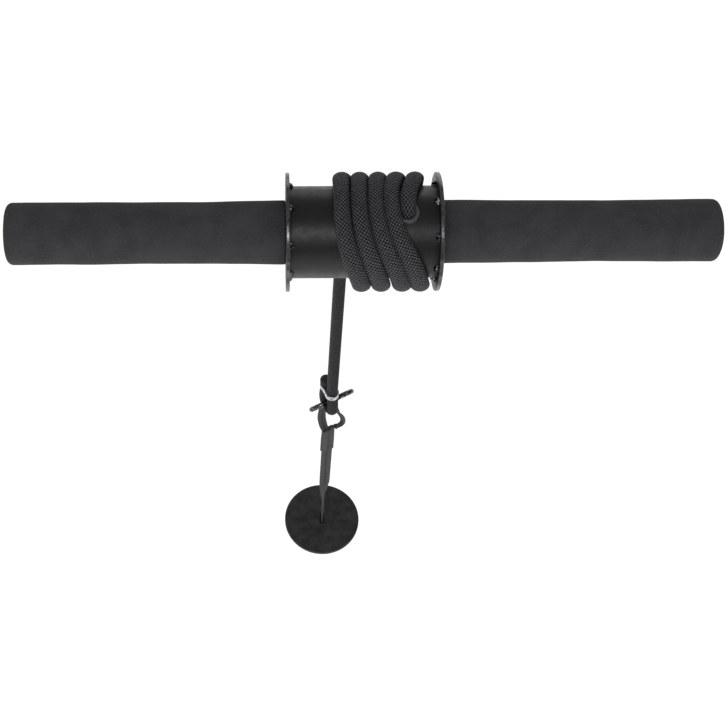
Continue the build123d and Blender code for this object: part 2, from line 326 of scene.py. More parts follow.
def braided_polyester(dark, light, wound):
    """Braided polyester cord: each strand shows as a raised lump about 2 mm long, lighter on top with a
    painted highlight and darker in the gaps with painted shade, with fibres that catch the light here and
    there. Painted shade darkens the run below the drum, from the given ring of the braid on, to half."""
    material = new_finish("braided_polyester")
    coords = add(material, "ShaderNodeTexCoord")
    split = add(material, "ShaderNodeSeparateXYZ", None, {"Vector": coords.outputs["UV"]})
    waves = []
    for axis in ("X", "Y"):
        strand = add(material, "ShaderNodeMath", {"operation": "MULTIPLY", 1: pi}, {0: split.outputs[axis]})
        waves.append(add(material, "ShaderNodeMath", {"operation": "COSINE"}, {0: strand}))
    lumps = add(material, "ShaderNodeMath", {"operation": "MULTIPLY"}, dict(enumerate(waves)))
    slant = add(material, "ShaderNodeMath", {"operation": "ADD"},
                {0: split.outputs["X"], 1: split.outputs["Y"]})
    slant = add(material, "ShaderNodeMath", {"operation": "MULTIPLY", 1: 6 * pi}, {0: slant})
    fibres = add(material, "ShaderNodeMath", {"operation": "SINE"}, {0: slant})
    fuzz = add(material, "ShaderNodeTexNoise", {"Scale": 1 / (0.9 * MM), "Detail": 3.0},
               {"Vector": coords.outputs["Object"]})
    # Strand tops lighter and gaps darker: painted highlight and painted shade that follow the braid's lumps.
    mottled = add(material, "ShaderNodeMath", {"operation": "MULTIPLY_ADD", 1: 2.2}, {0: fuzz, 2: lumps})
    shade = add(material, "ShaderNodeMapRange", {"From Min": 0.6, "From Max": 2.2}, {"Value": mottled})
    # Painted shade: the run below the drum, from the given ring of the braid on, is darkened to half.
    hanging_shade = add(material, "ShaderNodeMapRange",
                  {"From Min": wound, "From Max": wound + 40, "To Min": 1.0, "To Max": 0.5},
                  {"Value": split.outputs["Y"]})
    shade = add(material, "ShaderNodeMath", {"operation": "MULTIPLY"}, {0: shade, 1: hanging_shade})
    height = add(material, "ShaderNodeMath", {"operation": "MULTIPLY_ADD", 1: 0.12}, {0: fibres, 2: lumps})
    whole = add(material, "ShaderNodeMix", {"data_type": "RGBA", 6: dark, 7: light}, {0: shade})
    relief = add(material, "ShaderNodeBump", {"Distance": 0.3 * MM, "Strength": 0.9}, {"Height": height})
    return close_finish(material, {"Roughness": 0.55, "Specular IOR Level": 0.16, "IOR": 1.53},
                        {"Base Color": whole, "Normal": relief})


def woven_webbing(dark, light):
    """Woven polypropylene webbing: ribs of yarn about 1.4 mm apart, with a darker middle line."""
    material = new_finish("woven_webbing")
    coords = add(material, "ShaderNodeTexCoord")
    split = add(material, "ShaderNodeSeparateXYZ", None, {"Vector": coords.outputs["UV"]})
    from_middle = add(material, "ShaderNodeMath", {"operation": "ABSOLUTE"}, {0: split.outputs["X"]})
    across = add(material, "ShaderNodeMath", {"operation": "MULTIPLY", 1: 2 * pi / 1.4}, {0: from_middle})
    across = add(material, "ShaderNodeMath", {"operation": "COSINE"}, {0: across})
    slanted = add(material, "ShaderNodeMath", {"operation": "ADD"}, {0: split.outputs["Y"], 1: from_middle})
    along = add(material, "ShaderNodeMath", {"operation": "MULTIPLY", 1: 2 * pi / 1.6}, {0: slanted})
    along = add(material, "ShaderNodeMath", {"operation": "COSINE"}, {0: along})
    yarns = add(material, "ShaderNodeMath", {"operation": "MULTIPLY"}, {0: across, 1: along})
    streak = add(material, "ShaderNodeMapRange",
                 {"From Min": 0.3, "From Max": 1.4, "To Min": 0.75, "To Max": 0.0}, {"Value": from_middle})
    fuzz = add(material, "ShaderNodeTexNoise", {"Scale": 1 / (0.8 * MM), "Detail": 3.0},
               {"Vector": coords.outputs["Object"]})
    mottled = add(material, "ShaderNodeMath", {"operation": "MULTIPLY_ADD", 1: 1.4}, {0: fuzz, 2: yarns})
    shade = add(material, "ShaderNodeMapRange", {"From Min": -0.4, "From Max": 1.5}, {"Value": mottled})
    ribs = add(material, "ShaderNodeMix", {"data_type": "RGBA", 6: dark, 7: light}, {0: shade})
    whole = add(material, "ShaderNodeMix", {"data_type": "RGBA", 7: dark}, {0: streak, 6: ribs})
    relief = add(material, "ShaderNodeBump", {"Distance": 0.25 * MM, "Strength": 0.8}, {"Height": yarns})
    return close_finish(material, {"Roughness": 0.7, "Specular IOR Level": 0.35, "IOR": 1.49,
                                   "Sheen Weight": 0.1, "Sheen Roughness": 0.4},
                        {"Base Color": whole, "Normal": relief})


def moulded_rubber(paint, dust):
    """Moulded rubber: matt, with soft pale mottling where talc and handling have dulled it."""
    material = new_finish("moulded_rubber")
    place = add(material, "ShaderNodeTexCoord").outputs["Object"]
    fine = add(material, "ShaderNodeTexNoise", {"Scale": 1 / (0.8 * MM), "Detail": 4.0}, {"Vector": place})
    blotches = add(material, "ShaderNodeTexNoise", {"Scale": 1 / (9 * MM), "Detail": 4.0}, {"Vector": place})
    shade = add(material, "ShaderNodeMapRange", {"From Min": 0.38, "From Max": 0.68}, {"Value": blotches})
    whole = add(material, "ShaderNodeMix", {"data_type": "RGBA", 6: paint, 7: dust}, {0: shade})
    matt = add(material, "ShaderNodeMapRange",
               {"From Min": 0.3, "From Max": 0.7, "To Min": 0.52, "To Max": 0.68}, {"Value": blotches})
    relief = add(material, "ShaderNodeBump", {"Distance": 0.12 * MM, "Strength": 0.6}, {"Height": fine})
    return close_finish(material, {"Specular IOR Level": 0.4, "IOR": 1.52},
                        {"Base Color": whole, "Roughness": matt, "Normal": relief})


def moulded_plastic(paint):
    """Injection-moulded polyethylene: black, slightly glossy, with a fine spark texture."""
    material = new_finish("moulded_polyethylene")
    place = add(material, "ShaderNodeTexCoord").outputs["Object"]
    spark = add(material, "ShaderNodeTexNoise", {"Scale": 1 / (0.5 * MM), "Detail": 2.0}, {"Vector": place})
    gloss = add(material, "ShaderNodeMapRange",
                {"From Min": 0.3, "From Max": 0.7, "To Min": 0.38, "To Max": 0.55}, {"Value": spark})
    relief = add(material, "ShaderNodeBump", {"Distance": 0.06 * MM, "Strength": 0.5}, {"Height": spark})
    return close_finish(material, {"Base Color": paint, "IOR": 1.51}, {"Roughness": gloss, "Normal": relief})


def plated_steel(name, paint, worn, low, high):
    """Plated and tumbled steel: bright, with handling marks about 2 mm across that spread the highlights."""
    material = new_finish(name)
    place = add(material, "ShaderNodeTexCoord").outputs["Object"]
    marks = add(material, "ShaderNodeTexNoise", {"Scale": 1 / (2.2 * MM), "Detail": 5.0}, {"Vector": place})
    fine = add(material, "ShaderNodeTexNoise", {"Scale": 1 / (0.4 * MM), "Detail": 2.0}, {"Vector": place})
    shade = add(material, "ShaderNodeMapRange", {"From Min": 0.45, "From Max": 0.7}, {"Value": marks})
    whole = add(material, "ShaderNodeMix", {"data_type": "RGBA", 6: paint, 7: worn}, {0: shade})
    gloss = add(material, "ShaderNodeMapRange",
                {"From Min": 0.3, "From Max": 0.7, "To Min": low, "To Max": high}, {"Value": marks})
    relief = add(material, "ShaderNodeBump", {"Distance": 0.03 * MM, "Strength": 0.4}, {"Height": fine})
    return close_finish(material, {"Metallic": 1.0},
                        {"Base Color": whole, "Roughness": gloss, "Normal": relief})


def sewing_thread(dark, light):
    """Twisted polyester thread, with plies about half a millimetre apart."""
    material = new_finish("polyester_thread")
    place = add(material, "ShaderNodeTexCoord").outputs["Object"]
    plies = add(material, "ShaderNodeTexNoise", {"Scale": 1 / (0.5 * MM), "Detail": 2.0}, {"Vector": place})
    whole = add(material, "ShaderNodeMix", {"data_type": "RGBA", 6: dark, 7: light}, {0: plies})
    relief = add(material, "ShaderNodeBump", {"Distance": 0.1 * MM, "Strength": 0.6}, {"Height": plies})
    return close_finish(material, {"Roughness": 0.5, "IOR": 1.53}, {"Base Color": whole, "Normal": relief})


# ---------------------------------------------------------------- settings

class RollerRopeSettings(bpy.types.PropertyGroup):
    """Sizes and colours of the rope"""
    diameter: size("Diameter", "The rope's thickness where it hangs", 9.2)
    wound_width: size("Wound width", "Width of the flattened rope on the drum", 12.3)
    wound_depth: size("Wound depth", "Depth of the flattened rope on the drum", 8.9)
    wound_radius: size("Winding radius", "From the bar's axis to the wound rope's middle", 34.7)
    strands: IntProperty(name="Strands", description="Lumps and gaps round the braid", default=26, min=8)
    lump: size("Lump", "Height of a strand's lump over the braid's mean surface", 0.2)
    # Gaps and strand tops: painted shade between the strands and painted highlight on their tops.
    dark: colour("Gaps", "Colour between the strands", "030304")
    light: colour("Strands", "Colour on top of the strands", "747578")


class RollerGripSettings(bpy.types.PropertyGroup):
    """Sizes and colours of the foam grips"""
    radius: size("Radius", "Radius of a grip at its middle", 20.25)
    edge: size("End rounding", "Radius of the rounding at the outer end", 4.0)
    wave: size("Unevenness", "How far the sanded foam wanders from round", 0.35)
    paint: colour("Foam", "Colour of the foam", "4B4B4D")
    plug: colour("Plug", "Colour of the end plugs", "18181A")


class RollerSteelSettings(bpy.types.PropertyGroup):
    """Sizes and colours of the drum and the metal pieces"""
    bead: size("Weld bead", "Radius of a weld bead", 2.8)
    coat: colour("Powder coat", "Colour of the coated steel", "151517")
    # The hole's lip: a paler coat that paints the highlight along the hole's rim.
    lip_painted_highlight: colour("Hole's lip", "Colour of the coat that the rope has polished", "56565A")
    worn: colour("Rubbed rim", "Colour where the coat is rubbed", "6C6D71")
    plated: colour("Plated steel", "Colour of the clip", "3C3D40")
    bright: colour("Bright steel", "Colour of the crimp and of the clip's rubbed places", "D4D6D8")
    rubbed: colour("Rubbed plating", "Colour where the clip is rubbed", "A6A8AC")


class RollerStrapSettings(bpy.types.PropertyGroup):
    """Sizes and colours of the strap and its stop pin"""
    width: size("Width", "Width of the webbing", 9.8)
    thickness: size("Thickness", "Thickness of the webbing", 2.0)
    stitch: size("Stitch", "Length of one stitch", 2.4)
    dark: colour("Shaded yarn", "Colour between the yarns", "1C1C1E")
    light: colour("Yarn", "Colour of the yarns", "5A5B5D")
    thread: colour("Thread", "Colour of the sewing thread", "8C8C8E")
    zinc: colour("Pin", "Colour of the stop pin", "7C7C7E")
    bright_zinc: colour("Pin's marks", "Colour of the stop pin's handling marks", "A0A0A2")


class RollerDiscSettings(bpy.types.PropertyGroup):
    """Sizes and colours of the rubber disc"""
    groove_inset: size("Rim line inset", "From the edge to the moulded line", 3.2)
    groove_depth: size("Rim line depth", "Depth of the moulded line", 0.35)
    rubber: colour("Rubber", "Colour of the rubber", "232325")
    dust: colour("Dulled rubber", "Colour of the dulled patches", "3D3D3F")


class RollerStageSettings(bpy.types.PropertyGroup):
    """The floor, the light and the camera"""
    drop: FloatProperty(name="Floor", description="Height of the floor", unit="LENGTH",
                        subtype="DISTANCE", default=-1.55)
    floor: colour("Floor colour", "Colour of the floor", "FFFFFF")
    glow: FloatProperty(name="Floor light", description="How strongly the floor is lit from below",
                        default=0.68)
    lens: FloatProperty(name="Lens", description="Focal length in millimetres", default=73.24, min=1.0)
    shift: FloatProperty(name="Shift", description="Sideways shift of the lens", default=0.1265)
    key: FloatProperty(name="Key light", description="Power of the large light in watts", default=12.0)
    fill: FloatProperty(name="Fill light", description="Power of the low light behind in watts", default=4.0)
    world: FloatProperty(name="Surroundings", description="Strength of the white surroundings", default=0.3)


# ---------------------------------------------------------------- rope

# Millimetres and degrees. A turn starts at the back, crosses under the drum, and climbs over the front.
RING_STEP = 1.15
BACK_ANGLE = 144.0
HALF_WAY = 182.0
BACK_X = (34.9, 23.45, 11.1, -1.2, -13.4)
FRONT_X = (38.25, 26.5, 12.7, -0.2)
PULL = (0.47, 0.27, 0.165, 0.10)
LEAVE_X = -9.6
STRAND_OFFSET = 4.65


def ease(share):
    """A soft start and stop between 0 and 1."""
    return 0.5 - 0.5 * cos(pi * min(max(share, 0.0), 1.0))


def hump(angle):
    """How near an angle on the drum is to its top, from 0 to 1."""
    away = min(abs((angle - 90 + 180) % 360 - 180) / 75, 1.0)
    return cos(radians(90 * away)) ** 2


def turn_x(angle):
    """Where a turn lies along the bar: it crosses under the drum, and climbs over the front where
    the turns lean on each other."""
    if angle < BACK_ANGLE:
        return HOLE_X + (BACK_X[0] - HOLE_X) * ease((angle - 85) / 65)
    turn, part = divmod(angle - BACK_ANGLE, 360)
    turn = int(turn)
    if turn == len(FRONT_X):
        return BACK_X[turn] + (LEAVE_X - BACK_X[turn]) * ease(part / 40)
    if part <= HALF_WAY:
        return BACK_X[turn] + (FRONT_X[turn] - BACK_X[turn]) * ease(part / HALF_WAY)
    front = part + BACK_ANGLE - 360
    climb = 1 - ease((front + 34) / 105)
    return BACK_X[turn + 1] + (FRONT_X[turn] - BACK_X[turn + 1]) * (climb - PULL[turn] * hump(front))


def on_drum(x, radius, angle):
    """A point at an angle round the bar: 0 is the front, 90 the top, 180 the back."""
    return (x, -radius * cos(radians(angle)), radius * sin(radians(angle)))


def rope_route(winding):
    """The rope's control points in millimetres: out of the hole, round the drum, down, and round the eye."""
    corner = winding / 0.981
    route = [on_drum(HOLE_X, 24.0, 77), on_drum(HOLE_X, 29.6, 78), on_drum(HOLE_X, 34.3, 83)]
    route.append(on_drum(turn_x(96), 35.2, 96))
    route += [on_drum(turn_x(a), corner, a) for a in np.arange(112.5, 1600, 22.5)]
    route += [(-10.3, winding, 3.4), (LEAVE_X, winding + 0.05, -22.0), (-8.9, 36.4, -231.0)]
    eye = [(-STRAND_OFFSET, 34), (-STRAND_OFFSET, 20), (-7.2, 7.2), (-7.2, -7.2), (7.2, -7.2), (7.2, 7.2),
           (STRAND_OFFSET, 20), (STRAND_OFFSET, 27)]
    route += [tuple(EYE_CENTRE + ACROSS_CLIP * away + UP * rise) for away, rise in eye]
    route.append(tuple(EYE_CENTRE + ACROSS_CLIP * 5.0 + Vector((-2.4, 0, 36))))
    return route


def braid(name, path, along, sides, wide, deep, settings):
    """The braided skin along a path, closed with rounded ends where the strands are melted together."""
    around = settings.strands
    turns = 2 * pi * np.arange(around) / around
    ends = np.minimum(along, along[-1] - along) / (0.5 * settings.diameter)
    closing = np.sqrt(np.clip(1 - (1 - np.clip(ends, 0.0, 1.0)) ** 2, 0.0004, 1.0))
    lumps = np.where((np.arange(len(path))[:, None] + np.arange(around)) % 2 == 0, 1.0, -1.0)
    lumps *= settings.lump * closing[:, None]
    sections = np.stack([((wide * closing)[:, None] + lumps) * np.cos(turns),
                         ((deep * closing)[:, None] + lumps) * np.sin(turns)], axis=2)
    pattern = np.stack(np.broadcast_arrays(np.arange(around + 1)[None, :] * 1.0,
                                           np.arange(len(path))[:, None] * 1.0), axis=2)
    return skin(name, path, sides, sections, pattern)


class ROLLER_OT_rope(bpy.types.Operator):
    """Wind the rope on the drum, let it hang and bring it round the clip"""
    bl_idname = "wrist_roller.rope"
    bl_label = "Rope"

    def execute(self, context):
        settings = context.scene.roller_rope
        route = np.array(rope_route(settings.wound_radius / MM)) * MM
        path, along = evenly(smooth_line(route, 16), RING_STEP * MM)
        leaves = int(np.flatnonzero(path[:, 2] > 0)[-1])
        finish = braided_polyester(settings.dark, settings.light, leaves - 20)
        sides = np.tile((1.0, 0.0, 0.0), (len(path), 1))
        sides[leaves:] = carried_sides(path[leaves:], (1.0, 0.0, 0.0))
        angles = np.degrees(np.arctan2(path[:, 2], -path[:, 1]))
        tops = np.array([hump(angle) for angle in angles])
        freed = np.array([ease((s - along[leaves]) / 0.025) for s in along])
        flat = np.minimum(1 - freed, [ease(s / 0.018) for s in along])
        half = settings.diameter / 2
        wide = half + flat * (settings.wound_width / 2 - half - 1.05 * MM * tops)
        deep = half + flat * (settings.wound_depth / 2 - half)
        rope = braid("rope", path, along, sides, wide, deep, settings)
        settle(rope, "rope", None, finish, ("rope_turns", "rope_hanging", "rope_eye"))
        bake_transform(rope)

        # An overhand knot, pulled tight inside the drum: its strand is squeezed to 6 mm across.
        lobe, squeezed, from_axis, steps = 1.25, 3.0, 20.6, 36
        lobes = []
        for step in range(steps + 1):
            t = 2 * pi * step / steps
            lobes.append(((2 + cos(3 * t)) * cos(2 * t), (2 + cos(3 * t)) * sin(2 * t), sin(3 * t)))
        lobes = np.array(lobes) * lobe * MM + np.array(on_drum(HOLE_X, from_axis, HOLE_ANGLE)) * MM
        knot_path, knot_along = evenly(smooth_line(lobes, 6), RING_STEP * MM)
        thin = np.full(len(knot_path), squeezed * MM)
        knot = braid("rope_knot", knot_path, knot_along, carried_sides(knot_path, (0.0, 0.0, 1.0)),
                     thin, thin, settings)
        settle(knot, "rope_knot", "root", finish, ("rope_stopper_knot",))
        return {"FINISHED"}


# ---------------------------------------------------------------- grips

class ROLLER_OT_grips(bpy.types.Operator):
    """Turn the two foam grips, hollow in the middle of their length, and finish the end plugs"""
    bl_idname = "wrist_roller.grips"
    bl_label = "Grips"

    # How far the surface stands off the stated radius: at the flange, then at distances from the middle.
    outlines = {
        "left": (0.75, (56.0, 0.7), (66.0, 0.45), (80.0, 0.25), (105.0, 0.0), (133.0, -0.05),
                 (160.0, 0.05), (185.0, 0.1), (210.0, 0.15)),
        "right": (0.5, (56.0, 0.45), (72.0, 0.3), (103.0, 0.05), (130.0, -0.2), (156.0, -0.3),
                  (182.0, -0.1), (208.0, 0.2)),
    }
    bore = 12.8
    cut_step = 6.0

    def execute(self, context):
        settings = context.scene.roller_grips
        foam = closed_cell_foam(settings.paint)
        radius, edge = settings.radius / MM, settings.edge / MM
        for side, (at_flange, *outline) in self.outlines.items():
            low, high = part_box(f"{side}_grip")
            end = max(abs(low[0]), abs(high[0])) / MM
            low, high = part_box(f"{side}_flange")
            start = max(abs(low[0]), abs(high[0])) / MM + 0.1
            first, last = radius + at_flange, radius + outline[-1][1]
            profile = [(start, self.bore), (start, first - 1.0), (start + 0.3, first - 0.3)]
            profile.append((start + 1.0, first))
            profile += [(x, radius + off) for x, off in outline]
            profile += arc((end - edge, last - edge), edge, 90, 0, 8)
            profile += [(end, self.bore + 1.6), (end - 0.4, self.bore + 0.4), (end - 1.2, self.bore),
                        (start, self.bore)]
            sign = -1 if side == "left" else 1
            points = [(sign * x * MM, 0.0, r * MM) for x, r in profile]
            grip = turned(points, (0, 0, 0), (1, 0, 0), 96)
            pick(grip)
            bpy.ops.object.transform_apply(location=True, rotation=True, scale=True)
            bpy.ops.object.mode_set(mode="EDIT")
            for x in np.arange(start + self.cut_step, end - self.cut_step, self.cut_step):
                bpy.ops.mesh.select_all(action="SELECT")
                bpy.ops.mesh.bisect(plane_co=(sign * x * MM, 0, 0), plane_no=(1, 0, 0))
            bpy.ops.object.mode_set(mode="OBJECT")
            clouds = bpy.data.textures.new(f"{side}_foam_waves", "CLOUDS")
            clouds.noise_scale = 0.035
            waves = grip.modifiers.new("waves", "DISPLACE")
            waves.texture = clouds
            waves.texture_coords = "LOCAL"
            waves.strength = 2 * settings.wave
            waves.mid_level = 0.5
            apply_modifiers(grip)
            settle(grip, f"{side}_foam_grip", "root", foam, (f"{side}_grip",), smooth=50)
        dress(moulded_plastic(settings.plug), "left_end_plug", "right_end_plug")
        return {"FINISHED"}


# ---------------------------------------------------------------- drum

class ROLLER_OT_drum(bpy.types.Operator):
    """Coat the bar, the drum, the flanges and the hole's rim, and lay the weld beads"""
    bl_idname = "wrist_roller.drum"
    bl_label = "Drum"
    bead_count = 8
    first_bead = -50

    def execute(self, context):
        settings = context.scene.roller_steel
        coat = powder_coat("powder_coated_steel", settings.coat, settings.worn)
        dress(coat, "drum_shell", "left_flange", "right_flange")
        inside, bore, foot = 28.4, 4.7, 7.8
        profile = [(bore, inside), (bore, 31.0)] + arc((bore + 1.5, 31.0), 1.5, 180, 0, 10)
        profile += [(foot, 30.0), (foot, inside), (bore, inside)]
        outward = Vector(on_drum(0, 1, HOLE_ANGLE))
        points = [(Vector((HOLE_X + r, 0, 0)) + outward * h) * MM for r, h in profile]
        lip = turned(points, Vector((HOLE_X, 0, 0)) * MM, outward, 64)
        # Painted highlight: the hole's lip gets a paler coat than the drum.
        highlit_lip_coat = powder_coat("lip_painted_highlight_coat", settings.lip_painted_highlight, settings.worn)
        settle(lip, "hole_lip", "root", highlit_lip_coat, ("rope_grommet",), smooth=50)
        dress(powder_coat("painted_tube", settings.coat, settings.coat), "bar_tube")
        burnt = plated_steel("burnt_weld_steel", settings.coat, settings.bright, 0.25, 0.45)
        for side, sign in (("left", -1), ("right", 1)):
            beads = []
            for step in range(self.bead_count):
                turn = radians(self.first_bead + 360 / self.bead_count * step)
                clear_selection()
                bpy.ops.mesh.primitive_uv_sphere_add(segments=24, ring_count=14, radius=settings.bead,
                                                     location=(0, 0, 0))
                bead = context.object
                bpy.ops.object.mode_set(mode="EDIT")
                stretch = (0.95, 1.15 + 0.1 * sin(5 * step), 0.92 + 0.08 * cos(3 * step))
                bpy.ops.transform.resize(value=stretch)
                bpy.ops.transform.vertex_random(offset=0.9 * MM, seed=step + (20 if sign > 0 else 3))
                bpy.ops.mesh.vertices_smooth(factor=0.3, repeat=1)
                bpy.ops.mesh.select_all(action="SELECT")
                bpy.ops.mesh.bisect(plane_co=(0.6 * sign * MM, 0, 0), plane_no=(sign, 0, 0),
                                    use_fill=True, clear_outer=True)
                bpy.ops.object.mode_set(mode="OBJECT")
                bead.rotation_euler = (turn if sign > 0 else -turn, 0, 0)
                bead.location = Vector((sign * FLANGE_INNER_X, DRUM_RADIUS * cos(turn),
                                        sign * DRUM_RADIUS * sin(turn))) * MM
                beads.append(bead)
            settle(joined(beads), f"{side}_welds", "root", burnt, (f"{side}_weld_beads",),
                   smooth=50)
        return {"FINISHED"}


# ---------------------------------------------------------------- clip and crimp

class ROLLER_OT_clip(bpy.types.Operator):
    """Finish the snap clip, coil its gate's spring and press the crimp round the rope's eye"""
    bl_idname = "wrist_roller.clip"
    bl_label = "Clip"

    def execute(self, context):
        settings = context.scene.roller_steel
        steel = plated_steel("black_nickel_steel", settings.plated, settings.rubbed, 0.16, 0.30)
        dress(steel, "clip_body", "clip_gate", "gate_rivet")
        centre = middle("gate_spring")
        turns, per_turn, length, radius, wire = 7, 12, 4.6, 0.78, 0.18
        coil = []
        for step in range(turns * per_turn + 1):
            t = 2 * pi * step / per_turn
            rise = length * (step / (turns * per_turn) - 0.5)
            coil.append(centre + (ALONG_CLIP * rise + (ACROSS_CLIP * cos(t) + UP * sin(t)) * radius) * MM)
        path = evenly(smooth_line(coil, 3), 0.25 * MM)[0]
        around = 2 * pi * np.arange(8) / 8
        ring = np.stack([np.cos(around), np.sin(around)], axis=1) * wire * MM
        sections = np.tile(ring, (len(path), 1, 1))
        spring = skin("gate_coil", path, carried_sides(path, ALONG_CLIP), sections,
                      np.zeros((len(path), 9, 2)))
        settle(spring, "gate_coil", "gate", steel, ("gate_spring",))

        low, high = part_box("eye_crimp")
        clear_selection()
        base = Vector((EYE_CENTRE.x * MM, EYE_CENTRE.y * MM, low[2]))
        bpy.ops.mesh.primitive_circle_add(vertices=64, radius=4.75 * MM, location=base,
                                          rotation=(0, 0, atan2(ACROSS_CLIP.y, ACROSS_CLIP.x)))
        crimp = context.object
        bpy.ops.object.transform_apply(location=False, rotation=True, scale=False)
        for vertex in crimp.data.vertices:
            away = vertex.co.dot(ACROSS_CLIP)
            if abs(away) < 0.01 * MM:
                vertex.co *= 0.86
            else:
                vertex.co += ACROSS_CLIP * (STRAND_OFFSET if away > 0 else -STRAND_OFFSET) * MM
        bpy.ops.object.mode_set(mode="EDIT")
        bpy.ops.mesh.select_all(action="SELECT")
        for rise, flare in ((0.8, 0.97), (1.6, 0.985), (1.6, 1.0), (1.2, 1.02), (0.8, 1.05)):
            bpy.ops.mesh.extrude_edges_move(TRANSFORM_OT_translate={"value": (0, 0, rise * MM)})
            bpy.ops.transform.resize(value=(flare, flare, 1))
        bpy.ops.mesh.select_all(action="SELECT")
        bpy.ops.mesh.normals_make_consistent(inside=False)
        bpy.ops.object.mode_set(mode="OBJECT")
        wall = crimp.modifiers.new("wall", "SOLIDIFY")
        wall.thickness = 1.1 * MM
        wall.offset = 1.0
        rounding = crimp.modifiers.new("rounding", "BEVEL")
        rounding.width = 0.3 * MM
        rounding.segments = 3
        rounding.limit_method = "ANGLE"
        apply_modifiers(crimp)
        bright = plated_steel("bright_crimp_steel", settings.bright, settings.plated, 0.18, 0.32)
        settle(crimp, "crimp_ring", "line", bright, ("eye_crimp",), smooth=40)
        return {"FINISHED"}


# ---------------------------------------------------------------- strap

def band_section(wide, thick, groove):
    """A flat webbing section with rounded selvedges and a shallow groove down its middle."""
    spots = np.sin(np.linspace(-pi / 2, pi / 2, 15))
    rise = thick * (1 - 0.55 * np.abs(spots) ** 8) - groove * np.exp(-(spots / 0.16) ** 2)
    top = np.stack([wide * spots, rise], axis=1)[::-1]
    bottom = np.stack([wide * spots, -rise], axis=1)
    return np.concatenate([top, bottom])


def band(name, route, widths, thicknesses, sides, resolution, groove):
    """Webbing along a smooth route: each control point has its own width, thickness and side."""
    route = np.array([tuple(p) for p in route]) * MM
    path, along = evenly(smooth_line(route, resolution), 0.8 * MM)
    gaps = np.linalg.norm(np.diff(route, axis=0), axis=1)
    marks = np.concatenate([[0.0], np.cumsum(gaps)])
    share = along / along[-1] * marks[-1]
    wide = np.interp(share, marks, widths) * MM / 2
    thick = np.interp(share, marks, thicknesses) * MM / 2
    across = np.stack([np.interp(share, marks, [s[k] for s in sides]) for k in range(3)], axis=1)
    sections = np.stack([band_section(w, t, groove * MM) for w, t in zip(wide, thick)])
    shape = sections[:, list(range(sections.shape[1])) + [0], 0] / MM
    pattern = np.stack([shape, np.repeat(along[:, None] / MM, shape.shape[1], axis=1)], axis=2)
    return skin(name, path, across, sections, pattern)


